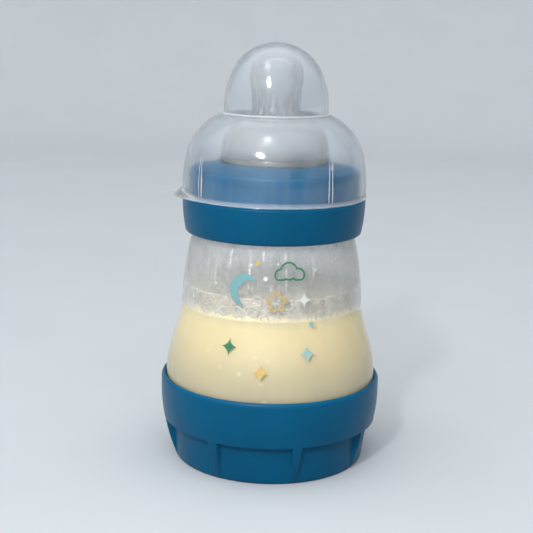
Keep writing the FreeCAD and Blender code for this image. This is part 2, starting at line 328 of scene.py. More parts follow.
def linear(code):
    """Linear colour of an sRGB hex value."""
    channels = [int(code[i:i + 2], 16) / 255 for i in (1, 3, 5)]
    return tuple(c / 12.92 if c <= 0.04045 else ((c + 0.055) / 1.055) ** 2.4 for c in channels) + (1,)


def per_mm(size):
    """Texture scale for features of a size in millimetres."""
    return 1 / (size * MM)


def new_material(name, **values):
    """Material with one Principled shader whose constant values sit on its own sockets."""
    made = bpy.data.materials.new(name)
    made.use_nodes = True
    shader = made.node_tree.nodes["Principled BSDF"]
    for key, value in values.items():
        shader.inputs[key.replace("_", " ")].default_value = value
    place = add(made.node_tree, "ShaderNodeTexCoord").outputs["Object"]
    return made, made.node_tree, shader, place


def wandering(tree, place, grain, detail=3.0, stretch=(1, 1, 1), rough=0.5):
    """Value that wanders between 0 and 1 over a grain in millimetres, drawn out where stretch is small."""
    drawn = add(tree, "ShaderNodeMapping", {"Scale": stretch}, {"Vector": place})
    noise = add(tree, "ShaderNodeTexNoise", {"Scale": per_mm(grain), "Detail": detail, "Roughness": rough},
                {"Vector": drawn})
    return noise


def by_height(tree, place, low_z, high_z, low=0.0, high=1.0, shift=None, fade="LINEAR"):
    """Value that goes from low to high between two heights. A shift in metres is added to the height."""
    level = add(tree, "ShaderNodeSeparateXYZ", links={"Vector": place}).outputs["Z"]
    if shift is not None:
        level = add(tree, "ShaderNodeMath", None, {0: level, 1: shift}, operation="ADD")
    ramp = add(tree, "ShaderNodeMapRange",
               {"From Min": low_z * MM, "From Max": high_z * MM, "To Min": low, "To Max": high},
               {"Value": level}, interpolation_type=fade)
    return ramp


def moulded_bump(tree, shader, place, grain, strength, depth):
    """Fine unevenness of a moulded surface."""
    bump = add(tree, "ShaderNodeBump", {"Strength": strength, "Distance": depth * MM},
               {"Height": wandering(tree, place, grain)})
    feed(shader, "Normal", bump)


def mottled(tree, shader, place, grain, dark, light, stretch=(1, 1, 1)):
    """Colour that wanders a little between two values."""
    ramp = add(tree, "ShaderNodeValToRGB", links={"Fac": wandering(tree, place, grain, 4.0, stretch)})
    ramp.color_ramp.elements[0].position = 0.3
    ramp.color_ramp.elements[0].color = linear(dark)
    ramp.color_ramp.elements[1].position = 0.7
    ramp.color_ramp.elements[1].color = linear(light)
    feed(shader, "Base Color", ramp)
    return ramp


def uneven_gloss(tree, shader, place, grain, low, high, stretch=(1, 1, 1)):
    """Roughness that wanders between two values."""
    gloss = add(tree, "ShaderNodeMapRange", {"To Min": low, "To Max": high},
                {"Value": wandering(tree, place, grain, stretch=stretch)})
    feed(shader, "Roughness", gloss)
    return gloss


def surface(name, mottle, gloss, bump=None, **values):
    """Material whose colour and gloss wander, with a fine unevenness where a bump is given."""
    made, tree, shader, place = new_material(name, **values)
    mottled(tree, shader, place, *mottle)
    uneven_gloss(tree, shader, place, *gloss)
    if bump:
        moulded_bump(tree, shader, place, *bump)
    return made


# Mark on the bottle's mesh: 1 on the inside of its wall above the skirt, 0 on the outside
INNER_FACE = "inner_face"


def bottle_polypropylene():
    """Clear polypropylene: misted inside above the froth, with drain marks, and clear where milk wets it."""
    made, tree, shader, place = new_material("bottle_polypropylene_moulded_hazy", IOR=1.49)
    drains = wandering(tree, place, 2.4, 5.0, (1, 1, 0.07), 0.65)
    specks = wandering(tree, place, 1.1, 4.0)
    marks = add(tree, "ShaderNodeMath", None, {0: drains, 1: specks}, operation="MULTIPLY")
    film = add(tree, "ShaderNodeMapRange",
               {"From Min": 0.13, "From Max": 0.42, "To Min": 0.04, "To Max": 0.24},
               {"Value": marks})
    dry = by_height(tree, place, froth_z - 1.5, froth_z + 2.5, 0.03, 1.0)
    haze = add(tree, "ShaderNodeMath", None, {0: film, 1: dry}, operation="MULTIPLY")
    clear = add(tree, "ShaderNodeMath", {0: 1.0}, {1: haze}, operation="SUBTRACT")
    feed(shader, "Transmission Weight", clear)
    mottled(tree, shader, place, 2.6, "#F8F9F9", "#FFFFFF", (1, 1, 0.06))
    gloss = uneven_gloss(tree, shader, place, 2.2, 0.12, 0.22, (1, 1, 0.08))
    inner_face = add(tree, "ShaderNodeAttribute", attribute_name=INNER_FACE)
    above = by_height(tree, place, froth_top_z - 1.0, froth_top_z + 2.0, 0.0, 0.26)
    mist = add(tree, "ShaderNodeMath", None, {0: above, 1: inner_face.outputs["Fac"]}, operation="MULTIPLY")
    misted = add(tree, "ShaderNodeMath", None, {0: gloss, 1: mist}, operation="ADD")
    feed(shader, "Roughness", misted)
    moulded_bump(tree, shader, place, 1.2, 0.1, 0.03)
    return made


# How much light passes the cap's wall, its thick rim and the top of its dome, which whitens between heights
CAP_CLEARNESS = 0.986
RIM_CLEARNESS = 0.72
DOME_CLEARNESS = 0.91
DOME_HAZE_LOW_Z = 95
DOME_HAZE_TOP_Z = 103


def cap_polypropylene():
    """Clear polypropylene, a little milky, with upright flow marks, and whiter at the dome and the rim."""
    made, tree, shader, place = new_material("cap_polypropylene_moulded_milky", IOR=1.49)
    rim = by_height(tree, place, cap_z + 0.2, cap_z + 1.6, RIM_CLEARNESS, CAP_CLEARNESS)
    dome = by_height(tree, place, DOME_HAZE_LOW_Z, DOME_HAZE_TOP_Z, CAP_CLEARNESS, DOME_CLEARNESS)
    least = add(tree, "ShaderNodeMath", None, {0: rim, 1: dome}, operation="MINIMUM")
    streaks = add(tree, "ShaderNodeMapRange",
                  {"From Min": 0.45, "From Max": 0.75, "To Min": 0.0, "To Max": 0.05},
                  {"Value": wandering(tree, place, 4, stretch=(1, 1, 0.04))})
    clear = add(tree, "ShaderNodeMath", None, {0: least, 1: streaks}, operation="SUBTRACT")
    feed(shader, "Transmission Weight", clear)
    mottled(tree, shader, place, 9, "#E9EEF2", "#F1F4F7")
    uneven_gloss(tree, shader, place, 6, 0.07, 0.14)
    moulded_bump(tree, shader, place, 2.5, 0.08, 0.03)
    return made


MILK_COLOUR = "#EEE0B5"
# Darker milk colour at the bottom: painted shade
MILK_SHADED_LOW_COLOUR = "#CEC4A4"
MILK_SPOT_COLOUR = "#F0E6C4"

# Heights over the milk between which its colour gives way to the froth's, and how far that edge wavers
FROTH_BLEND_START = 0.3
FROTH_BLEND_END = 3.6
FROTH_WAVER = 1.6


def formula_milk():
    """Made-up milk formula: nearly opaque, darker towards the bottom as painted shade, with faint spots of
    air at the wall.
    """
    made, tree, shader, place = new_material("formula_milk_liquid", IOR=1.35, Roughness=0.25,
                                             Subsurface_Weight=0.15, Subsurface_Scale=0.002)
    # Painted shade: the milk darkens from under the froth down to the skirt, as if lit from above
    lit_towards_top = by_height(tree, place, SKIRT_TOP_Z, froth_z - 2, fade="SMOOTHSTEP")
    cloudy = add(tree, "ShaderNodeMapRange", {"To Min": -0.12, "To Max": 0.12},
                 {"Value": wandering(tree, place, 11, 4.0)})
    both = add(tree, "ShaderNodeMath", None, {0: lit_towards_top, 1: cloudy}, operation="ADD")
    blended = add(tree, "ShaderNodeMix", {6: linear(MILK_SHADED_LOW_COLOUR), 7: linear(MILK_COLOUR)},
                  {0: both}, data_type="RGBA")
    cells = add(tree, "ShaderNodeTexVoronoi", {"Scale": per_mm(5)}, {"Vector": place})
    air = add(tree, "ShaderNodeMapRange",
              {"From Min": 0.10, "From Max": 0.18, "To Min": 0.45, "To Max": 0.0},
              {"Value": cells}, interpolation_type="SMOOTHSTEP")
    spotted = add(tree, "ShaderNodeMix", {7: linear(MILK_SPOT_COLOUR)},
                  {0: air, 6: blended.outputs[2]}, data_type="RGBA")
    feed(shader, "Base Color", spotted.outputs[2])
    return made


def froth():
    """Froth on the milk: small bubbles with pale skins, packed together, and milk between the lowest."""
    made, tree, shader, place = new_material("milk_froth_bubbles", IOR=1.35, Roughness=0.3,
                                             Subsurface_Weight=0.15, Subsurface_Scale=0.002)
    cells = add(tree, "ShaderNodeTexVoronoi", {"Scale": per_mm(2.4)}, {"Vector": place})
    small = add(tree, "ShaderNodeTexVoronoi", {"Scale": per_mm(0.6)}, {"Vector": place})
    half = add(tree, "ShaderNodeMath", {1: 0.5}, {0: small}, operation="MULTIPLY")
    height = add(tree, "ShaderNodeMath", None, {0: cells, 1: half}, operation="ADD")
    ramp = add(tree, "ShaderNodeValToRGB", links={"Fac": height})
    ramp.color_ramp.elements[0].color = linear("#6E6958")
    ramp.color_ramp.elements[1].position = 0.9
    ramp.color_ramp.elements[1].color = linear("#B7B09D")
    shift = add(tree, "ShaderNodeMapRange", {"To Min": -FROTH_WAVER * MM, "To Max": FROTH_WAVER * MM},
                {"Value": wandering(tree, place, 3)})
    drained = by_height(tree, place, froth_z + FROTH_BLEND_START, froth_z + FROTH_BLEND_END,
                        shift=shift, fade="SMOOTHSTEP")
    blended = add(tree, "ShaderNodeMix", {6: linear(MILK_COLOUR)}, {0: drained, 7: ramp},
                  data_type="RGBA")
    feed(shader, "Base Color", blended.outputs[2])
    bump = add(tree, "ShaderNodeBump", {"Strength": 0.5, "Distance": 0.3 * MM}, {"Height": height})
    feed(shader, "Normal", bump)
    return made


def screen_ink(name, dark, light):
    """Screen-printed ink film, matt and very slightly patchy."""
    made, tree, shader, place = new_material("screen_ink_" + name, Roughness=0.45)
    mottled(tree, shader, place, 1.2, dark, light)
    return made


# Deep teal polypropylene, satin from the mould: soft highlights and a faint grain
blue = surface("blue_polypropylene_moulded_satin", (14, "#00597F", "#005F87"), (5, 0.30, 0.38),
               (0.7, 0.12, 0.04), IOR=1.49, Specular_IOR_Level=0.16)

bottle_clear = bottle_polypropylene()
cap_clear = cap_polypropylene()

# Painted highlight: whiter, less clear polypropylene for thin lines that stand in for glints at the foot of
# the turret and along the grip ribs
cap_glint_white = surface("cap_polypropylene_painted_glints", (3, "#F2F6F9", "#FFFFFF"), (2, 0.10, 0.18),
                   IOR=1.49, Transmission_Weight=0.3)

# Clear silicone rubber, pale and a little cloudy, with a greasy gloss
silicone = surface("teat_silicone_moulded_clear", (6, "#DBDEDF", "#E6E9E8"), (2.5, 0.18, 0.30),
                   (1.4, 0.15, 0.05), IOR=1.41, Transmission_Weight=0.92)

# Thin white silicone sheet, matt from the mould
valve_white = surface("valve_silicone_moulded_white", (5, "#E9EAE6", "#F2F3F0"), (2, 0.42, 0.55),
                      (0.8, 0.12, 0.03), IOR=1.41, Subsurface_Weight=0.2, Subsurface_Scale=0.001)

# Drops of thin milky water left on the wall after the bottle was shaken
water = surface("milky_water_drops", (1.5, "#E0E1DC", "#EDEDE9"), (1.0, 0.03, 0.09),
                IOR=1.33, Transmission_Weight=0.3)

# Rims of large bubbles in the froth, where the film is thick and pale
bubble_rims = surface("milk_bubble_rims", (1.5, "#B4AE9C", "#CBC5B3"), (1.0, 0.12, 0.25),
                      IOR=1.33, Subsurface_Weight=0.2, Subsurface_Scale=0.001)

milk_cream = formula_milk()
froth_pale = froth()

# Base cup

RIB_COUNT = 8
RIB_FIRST = 15.2
RIB_HALF_TOP = 2.9
RIB_HALF_FOOT = 1.7
RIB_ROUND = 0.8
PANEL_TOP = 12.5
PANEL_FOOT = 0.9
PANEL_TOP_R = 32.5
PANEL_FOOT_R = 30.8
LIP_HEIGHT = 0.5
LIP_STEPS = 8
BAND_Z = 22.0
RIM_STEP_Z = 25.0
RIM_R = 34.15
THREAD_WALL_R = 33.0
THREAD_FOOT_Z = 15.0
POCKET_R = 31.3
CHAMBER_R = 29.3
FOOT_R = 29.6
UNDER_R = 27.6
UNDER_Z = 1.6
VENT_COUNT = 6
VENT_R = 1.0
VENT_CIRCLE_R = 8.0

# The foot's round edge and one long swell up to the straight band
cup_side = outline((FOOT_R, 0), ((30.58, 0.33), (31.0, 1.1)), ((34.23, 11.55), (base_r, BAND_Z)), step=0.5)


def rib_turns():
    """Turns that crowd at the sides of the ribs."""
    near = [0, 0.6] + [1.0 + 0.2 * i for i in range(14)] + [4.2, 5.0]
    wide = [6.5 + 2 * i for i in range(8)]
    return sorted(turns_about(RIB_FIRST, RIB_COUNT, near + wide))


def panelled(turn, r, z):
    """Sinks the panels between the ribs into the lower side of the cup. The ribs narrow downwards."""
    if z > PANEL_TOP + LIP_HEIGHT or z < PANEL_FOOT - 0.5 or r < radius_at(cup_side, z) - 0.05:
        return r, z
    off = off_nearest(turn, RIB_FIRST, RIB_COUNT)
    height = (z - PANEL_FOOT) / (PANEL_TOP - PANEL_FOOT)
    half = RIB_HALF_FOOT + (RIB_HALF_TOP - RIB_HALF_FOOT) * min(max(height, 0), 1)
    sunk = ease(half - RIB_ROUND, half + RIB_ROUND, off) * (1 - ease(PANEL_TOP, PANEL_TOP + LIP_HEIGHT, z))
    panel_r = PANEL_FOOT_R + (PANEL_TOP_R - PANEL_FOOT_R) * height
    return r + (min(r, panel_r) - r) * sunk, z


def make_base():
    """Cup with its points crowded at the lip over the panels, and its vents cut through the floor."""
    lip = [PANEL_TOP + LIP_HEIGHT * i / LIP_STEPS for i in range(-2, LIP_STEPS + 2)]
    heights = sorted(lip + [z for _, z in cup_side if not lip[0] - 0.2 < z < lip[-1] + 0.2])
    side = [(radius_at(cup_side, z), z) for z in heights]
    rim_top_r = base_r - (base_r - RIM_R) / 2
    inside = outline(
        (base_r, BAND_Z), (base_r, rim_z - 1.6), ((base_r - 0.22, rim_z - 0.6), (rim_top_r, rim_z)),
        ((RIM_R + 0.15, rim_z - 0.12), (RIM_R, rim_z - 0.45)), (RIM_R, RIM_STEP_Z),
        (THREAD_WALL_R, RIM_STEP_Z), (THREAD_WALL_R, THREAD_FOOT_Z), (POCKET_R, body_z),
        (POCKET_R, LEDGE_Z), (CHAMBER_R, LEDGE_Z), (CHAMBER_R, FLOOR_Z + 0.8),
        ((CHAMBER_R - 0.23, FLOOR_Z + 0.23), (CHAMBER_R - 0.8, FLOOR_Z)), (0, FLOOR_Z), step=0.2)
    under = outline(
        (0, UNDER_Z), (UNDER_R - 0.4, UNDER_Z), ((UNDER_R - 0.12, UNDER_Z - 0.12), (UNDER_R, UNDER_Z - 0.4)),
        (UNDER_R, 0.2), ((UNDER_R + 0.06, 0.06), (UNDER_R + 0.2, 0)), step=0.2)
    cup = lathe("base_cup_skin", under + side + inside[1:], rib_turns(), panelled, 50)
    low, high = UNDER_Z - 0.6, FLOOR_Z + 0.8
    vents = lathe("vent_cutter", [(0, low), (VENT_R, low), (VENT_R, high), (0, high)], even_turns(32))
    cut_holes(cup, vents, VENT_COUNT, VENT_CIRCLE_R)
    dress(cup, "base", blue, "blue_plastic", "base_cup")


make_base()

# Bottle, milk and froth

NECK_FOOT_Z = BARREL_Z + 0.6

# Skirt, waist and barrel, from the skirt's straight foot to the foot of the neck
body_side = outline((SKIRT_R, SKIRT_TOP_Z), ((33.12, 34.25), (31.4, 40.5)),
                    ((30.0, 45.1), (WAIST_R, WAIST_Z)), ((27.88, 63.25), (24.8, BARREL_Z)))
inner_side = [(r - BODY_WALL, z) for r, z in body_side]


def make_bottle():
    lower_mouth_r = LOWER_NECK_R - BODY_WALL
    below = outline((lower_mouth_r, body_z), (LOWER_NECK_R, body_z), (LOWER_NECK_R, FLANGE_Z),
                    (SKIRT_R - 0.3, FLANGE_Z), ((SKIRT_R - 0.09, FLANGE_Z + 0.09), (SKIRT_R, FLANGE_Z + 0.3)))
    neck = outline((NECK_R, NECK_FOOT_Z), (NECK_R, neck_z - 0.3),
                   ((NECK_R - 0.09, neck_z - 0.09), (NECK_R - 0.3, neck_z)), (MOUTH_R, neck_z))
    inside = [(MOUTH_R, NECK_FOOT_Z)] + inner_side[::-1]
    inside += [(SKIRT_R - BODY_WALL, FLANGE_Z + BODY_WALL), (lower_mouth_r, FLANGE_Z - FLANGE_SLOPE)]
    bottle = lathe("bottle_skin", below + body_side + neck + inside)
    middle = [(r - BODY_WALL / 2, z) for r, z in body_side]
    inner = [math.hypot(v.co.x, v.co.y) < radius_at(middle, v.co.z / MM) * MM for v in bottle.data.vertices]
    marks = bottle.data.attributes.new(INNER_FACE, "FLOAT", "POINT")
    marks.data.foreach_set("value", [float(i) for i in inner])
    dress(bottle, "bottle", bottle_clear, "bottle_plastic", "bottle_body")
    let_light_in(bottle)


# The milk wets the wall, so its skin lies just inside the plastic. The froth leaves the wall over its foot
# and stands off by its bubbles above that.
MILK_WET = 0.06
MILK_FLOOR_Z = 10.4
MILK_FLOOR_R = 21.1
MILK_EDGE_R = 28.7
FROTH_GAP = 0.3
FROTH_FOOT = 3.0
FROTH_ROUND = 0.8


def make_contents():
    side = [(r + MILK_WET, z) for r, z in inner_side]
    lower_r = LOWER_NECK_R - BODY_WALL + MILK_WET
    wetted = [p for p in side if p[1] < froth_z] + [(radius_at(side, froth_z), froth_z)]
    foot = [(0, MILK_FLOOR_Z), (MILK_FLOOR_R, MILK_FLOOR_Z), (MILK_EDGE_R, body_z + GAP),
            (lower_r, body_z + GAP), (lower_r, FLANGE_Z - FLANGE_SLOPE), (side[0][0], FLANGE_Z + BODY_WALL)]
    milk = lathe("milk_body", foot + wetted + [(0, froth_z)])
    dress(milk, "bottle", milk_cream, "milk", "milk")
    parting = [(MILK_WET + FROTH_GAP) * ease(froth_z, froth_z + FROTH_FOOT, z) for _, z in side]
    loose = [(r - apart, z) for (r, z), apart in zip(side, parting)]
    edge_r = radius_at(loose, froth_top_z)
    froth_side = [(radius_at(loose, froth_z), froth_z)]
    froth_side += [p for p in loose if froth_z < p[1] < froth_top_z - FROTH_ROUND]
    froth_side += outline((edge_r, froth_top_z - FROTH_ROUND),
                          ((edge_r - 0.25, froth_top_z - 0.25), (edge_r - 0.9, froth_top_z)), step=0.2)
    layer = lathe("froth_layer", [(0, froth_z)] + froth_side + [(0, froth_top_z - 0.5)])
    dress(layer, "bottle", froth_pale, "froth", "milk_froth")


make_bottle()
make_contents()

# Collar

COLLAR_MOUTH_R = 26.6
COLLAR_FOOT_R = 28.1
COLLAR_EDGE_Z = 94.1
COLLAR_EDGE_ROUND = 1.2
COLLAR_MOUTH_Z = 82.3
COLLAR_BORE_Z = 83.4

# Underside of the collar's top, which rests on the teat's flange and rises in a cone round the teat
SEAT_Z = 92.6
SEAT_R = 20.2
CONE_Z = 94.35


def make_collar():
    edge_r = COLLAR_UPPER_R - COLLAR_EDGE_ROUND
    profile = outline(
        (COLLAR_MOUTH_R, collar_z), (COLLAR_FOOT_R - 0.9, collar_z),
        ((COLLAR_FOOT_R - 0.27, collar_z + 0.27), (COLLAR_FOOT_R, collar_z + 0.9)),
        ((28.8, 79.65), (collar_r, SHOULDER_Z - 0.5)),
        ((collar_r - 0.15, SHOULDER_Z - 0.15), (collar_r - 0.5, SHOULDER_Z)),
        (COLLAR_UPPER_R, SHOULDER_Z), (COLLAR_UPPER_R, COLLAR_EDGE_Z - COLLAR_EDGE_ROUND),
        ((COLLAR_UPPER_R - 0.36, COLLAR_EDGE_Z - 0.36), (edge_r, COLLAR_EDGE_Z)),
        (COLLAR_HOLE_R + 0.75, collar_top_z),
        ((COLLAR_HOLE_R + 0.22, collar_top_z - 0.22), (COLLAR_HOLE_R, collar_top_z - 0.75)),
        (COLLAR_HOLE_R, CONE_Z), (SEAT_R, SEAT_Z), (COLLAR_BORE_R, SEAT_Z), (COLLAR_BORE_R, COLLAR_BORE_Z),
        (COLLAR_MOUTH_R, COLLAR_MOUTH_Z), step=0.4)
    dress(lathe("collar_skin", profile), "collar", blue, "blue_plastic", "screw_ring")


make_collar()

# Cap

TAB_REACH = 2.6
TAB_HEIGHT = 2.4
TAB_TURN = 270
TAB_HALF_ANGLE = 40.0
GRIP_RIB_FIRST = 37.0
GRIP_RIB_COUNT = 4
GRIP_RIB_HALF = 0.6
GRIP_RIB_ROUND = 0.2
GRIP_RIB_CLEAR = 2.4
GRIP_R = COLLAR_UPPER_R + GAP
GRIP_TOP_Z = 98.5
GRIP_FADE = 6.0
CAP_SIDE_R = 29.1
CAP_SIDE_Z = cap_z + 1.5
CAP_EDGE = 0.25

# Moves of an outline from the straight side up the dome, over the small ledge and up the turret to the top
CAP_DOME = (((28.8, 93.05), (27.6, 99.6)), ((24.6, 105.3), (17.6, 110.75)),
            (16.75, 111.0), ((16.5, 111.1), (16.4, 111.4)),
            ((16.05, 117.15), (14.5, 122.7)), ((8.47, 130.36), (0, cap_top_z)))


def tab_reach(turn):
    """How far the thumb tab stands out of the rim at a turn: an eccentric circle that fades into the rim."""
    tip_r = cap_rim_r + TAB_REACH
    fade = tip_r - cap_rim_r * math.cos(math.radians(TAB_HALF_ANGLE))
    offset = (tip_r ** 2 - cap_rim_r ** 2) / (2 * fade)
    off = math.radians(turn - TAB_TURN)
    reach = offset * math.cos(off) + math.sqrt((tip_r - offset) ** 2 - (offset * math.sin(off)) ** 2)
    return max(reach - cap_rim_r, 0) if math.cos(off) > 0 else 0


def cap_form(turn, r, z):
    """Adds the thumb tab outside the rim and the grip ribs inside the wall."""
    if r > cap_rim_r - 0.5 and z < cap_z + TAB_HEIGHT + 0.5:
        rise = (z - cap_z) / TAB_HEIGHT
        return r + tab_reach(turn) * (1 - ease(0.1, 1.05, rise) ** 0.7), z
    if GRIP_R < r < cap_rim_r - 0.9 and cap_z + 0.8 < z < GRIP_TOP_Z:
        across = math.radians(off_nearest(turn, GRIP_RIB_FIRST, GRIP_RIB_COUNT)) * r
        height = 1 - ease(GRIP_TOP_Z - GRIP_FADE, GRIP_TOP_Z, z)
        beside = ease(GRIP_RIB_HALF - GRIP_RIB_ROUND, GRIP_RIB_HALF + GRIP_RIB_ROUND, across)
        return r + (GRIP_R - r) * height * (1 - beside), z
    return r, z


def cap_turns():
    """Even turns, crowded at the grip ribs."""
    near = (0, 0.5, 0.8, 0.95, 1.1, 1.25, 1.4, 1.55, 1.7, 2.0)
    even = {t for t in even_turns() if off_nearest(t, GRIP_RIB_FIRST, GRIP_RIB_COUNT) > GRIP_RIB_CLEAR}
    return sorted(even | turns_about(GRIP_RIB_FIRST, GRIP_RIB_COUNT, near))


def make_cap():
    outside = outline((cap_rim_r, cap_z + CAP_EDGE), (cap_rim_r, cap_z + 1.2), (CAP_SIDE_R, CAP_SIDE_Z),
                      *CAP_DOME, step=0.5)
    wall = outline((CAP_SIDE_R, cap_z + CAP_EDGE), (CAP_SIDE_R, CAP_SIDE_Z), *CAP_DOME, step=0.5)
    inside = inset(wall, CAP_WALL)
    inside[-1] = (0, cap_top_z - CAP_WALL)
    foot = [(CAP_SIDE_R - CAP_WALL + 0.1, cap_z), (cap_rim_r - CAP_EDGE, cap_z)]
    cap = lathe("cap_skin", inside[::-1] + foot + outside, cap_turns(), cap_form)
    dress(cap, "cap", cap_clear, "cap_plastic", "protective_cap")
    let_light_in(cap)


# Sizes of the painted highlights: a ring round the turret's foot and slim lines beside the grip ribs, in
# place of their glints
RING_R = 16.75
RING_Z = 111.05
RING_SECTION = 0.26
RING_SIDES = 12
RIDGE_APART = 0.55
RIDGE_HALF = 0.13
RIDGE_LOW = cap_z + 0.6
RIDGE_TOP = GRIP_TOP_Z + 0.5


def glint_line_tree(material):
    """Slim upright lines of painted highlight, one on each point of a mesh, tapered to nothing at both ends.
    """
    tree, sizes = new_tree("grip_glint_lines", {"Half width": "Float", "Half length": "Float"})
    ball = add(tree, "GeometryNodeMeshUVSphere", {"Segments": 10, "Rings": 24, "Radius": 1.0})
    scale = add(tree, "ShaderNodeCombineXYZ", None,
                {"X": sizes["Half width"], "Y": sizes["Half width"], "Z": sizes["Half length"]})
    spread = add(tree, "GeometryNodeInstanceOnPoints", None,
                 {"Points": sizes["Geometry"], "Instance": ball,
                  "Scale": scale})
    end_tree(tree, spread, material)
    return tree


def make_cap_glints():
    """Painted highlights: a white ring at the foot of the turret and a white line along each side of every
    grip rib, for their glints.
    """
    steps = [math.tau * i / RING_SIDES for i in range(RING_SIDES)]
    section = [(RING_R + RING_SECTION * math.cos(a), RING_Z + RING_SECTION * math.sin(a)) for a in steps]
    dress(lathe("cap_turret_glint_ring", section), "cap", cap_glint_white, "cap_plastic")
    ridge_r = GRIP_R + RIDGE_HALF
    turns = turns_about(GRIP_RIB_FIRST, GRIP_RIB_COUNT, [math.degrees(RIDGE_APART / ridge_r)])
    places = [on_circle(ridge_r, turn, (RIDGE_LOW + RIDGE_TOP) / 2) for turn in sorted(turns)]
    ridges = grown("cap_grip_glint_lines", glint_line_tree(cap_glint_white), mesh_object("ridge_places", places, []),
                   {"Half width": RIDGE_HALF * MM, "Half length": (RIDGE_TOP - RIDGE_LOW) / 2 * MM})
    dress(ridges, "cap", cap_glint_white, "cap_plastic")


make_cap()
make_cap_glints()

# Teat

FLANGE_INNER_R = 19.9
TEAT_WAIST_R = 16.3
BEAD_R = 17.0
BEAD_Z = 96.15
BEAD_HEIGHT = 1.5
NIPPLE_FOOT = (9.2, 109.4)
NIPPLE_HALF_WIDTH = 8.3
NIPPLE_HALF_DEPTH = 5.5
NIPPLE_FLATTENS = (108.5, 119.0)
FOLD_COUNT = 8
FOLD_HEIGHT = 0.55
FOLD_RISES = (107.6, 109.5)
FOLD_FADES = (114.0, 121.0)

# The teat's hollow opens at its flange and runs on inside the waist
HOLLOW_MOUTH_R = 19.0
HOLLOW_WAIST_R = 18.5
HOLLOW_WAIST_Z = 94.5


def flattened(turn, r, z):
    """Flattens the nipple from front to back and raises the folds at its foot."""
    depth = 1 - ease(*NIPPLE_FLATTENS, z) * (1 - NIPPLE_HALF_DEPTH / NIPPLE_HALF_WIDTH)
    across, deep = math.sin(math.radians(turn)), math.cos(math.radians(turn)) * depth
    fold = FOLD_HEIGHT * math.cos(math.radians(turn * FOLD_COUNT)) ** 6
    fold *= ease(*FOLD_RISES, z) * (1 - ease(*FOLD_FADES, z))
    return r * math.hypot(across, deep) + fold, z


def make_teat():
    skin = outline(
        (FLANGE_INNER_R, neck_z), (NECK_R - 0.3, neck_z), ((NECK_R, neck_z + 0.8), (NECK_R - 0.3, SEAT_Z)),
        (FLANGE_INNER_R, SEAT_Z), (TEAT_WAIST_R, CONE_Z), (TEAT_WAIST_R, BEAD_Z), (BEAD_R, BEAD_Z),
        ((BEAD_R + 0.3, BEAD_Z + BEAD_HEIGHT / 2), (BEAD_R, BEAD_Z + BEAD_HEIGHT)),
        ((16.75, 101.0), (15.9, 104.5)), ((13.9, 107.6), NIPPLE_FOOT), step=0.35)
    nipple = outline(NIPPLE_FOOT, ((7.6, 110.7), (6.9, 113.0)), ((7.3, 116.5), (8.2, 120.5)),
                     ((8.2, 124.0), (7.2, 127.0)), ((4.6, 128.9), (0, teat_tip_z)), step=0.35)
    outer = skin + nipple[1:]
    inner = [p for p in inset(outer, TEAT_WALL) if p[1] > neck_z]
    start = max(i for i, (r, z) in enumerate(inner) if z < HOLLOW_WAIST_Z and r < HOLLOW_WAIST_R)
    inner = [(HOLLOW_MOUTH_R, neck_z + 0.2)] + inner[start:]
    inner[-1] = (0, teat_tip_z - TEAT_WALL)
    teat = lathe("teat_skin", inner[::-1] + outer, form=flattened)
    dress(teat, "teat", silicone, "teat_silicone", "teat")


make_teat()

# Valve

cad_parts["vent_valve"].data.materials.clear()
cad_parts["vent_valve"].data.materials.append(valve_white)

# Threads, which stand half out of their walls and clear each other at every turn

NECK_THREAD_HEIGHT = 0.5
BASE_THREAD_HEIGHT = 0.8


def thread_tree(material):
    """Round right-hand thread, wound upwards about Z."""
    tree, sizes = new_tree("screw_thread", {"Radius": "Float", "Height": "Float", "Turns": "Float",
                                            "Thickness": "Float", "Foot": "Vector"})
    path = add(tree, "GeometryNodeCurveSpiral", {"Resolution": 96, "Reverse": True},
               {"Rotations": sizes["Turns"], "Start Radius": sizes["Radius"], "End Radius": sizes["Radius"],
                "Height": sizes["Height"]})
    section = add(tree, "GeometryNodeCurvePrimitiveCircle", {"Resolution": 10},
                  {"Radius": sizes["Thickness"]})
    tube = add(tree, "GeometryNodeCurveToMesh", {"Fill Caps": True},
               {"Curve": path, "Profile Curve": section})
    placed = add(tree, "GeometryNodeTransform", None, {"Geometry": tube, "Translation": sizes["Foot"]})
    end_tree(tree, placed, material)
    return tree


def make_thread(name, radius, thickness, low_z, turns, body, material, slot):
    ground = mesh_object(name + "_ground", [], [])
    thread = grown(name, thread_tree(material), ground, {
        "Radius": radius * MM, "Height": turns * THREAD_LEAD * MM, "Turns": turns,
        "Thickness": thickness * MM, "Foot": (0, 0, low_z * MM)})
    dress(thread, body, material, slot)


make_thread("neck_thread", NECK_R, NECK_THREAD_HEIGHT, 81.0, 1.6, "bottle", bottle_clear, "bottle_plastic")
make_thread("collar_thread", COLLAR_BORE_R, NECK_THREAD_HEIGHT, 84.6, 1.4, "collar", blue, "blue_plastic")
make_thread("lower_neck_thread", LOWER_NECK_R, BASE_THREAD_HEIGHT, 16.2, 1.5, "bottle", bottle_clear,
            "bottle_plastic")
make_thread("base_thread", THREAD_WALL_R, BASE_THREAD_HEIGHT, 16.8, 1.4, "base", blue, "blue_plastic")

# Bubbles in the froth, and drops and drips on the wall above it

BAND_ROWS = 13
BAND_COLUMNS = 96


def band_of_wall(name, low_z, high_z, stand_off):
    """Strip of the inside of the bottle between two heights, moved in from the wall."""
    verts = []
    for i in range(BAND_ROWS):
        z = low_z + (high_z - low_z) * i / (BAND_ROWS - 1)
        verts += [on_circle(radius_at(inner_side, z) - stand_off, t, z) for t in even_turns(BAND_COLUMNS)]
    return mesh_object(name, verts, grid_faces(BAND_ROWS, BAND_COLUMNS))


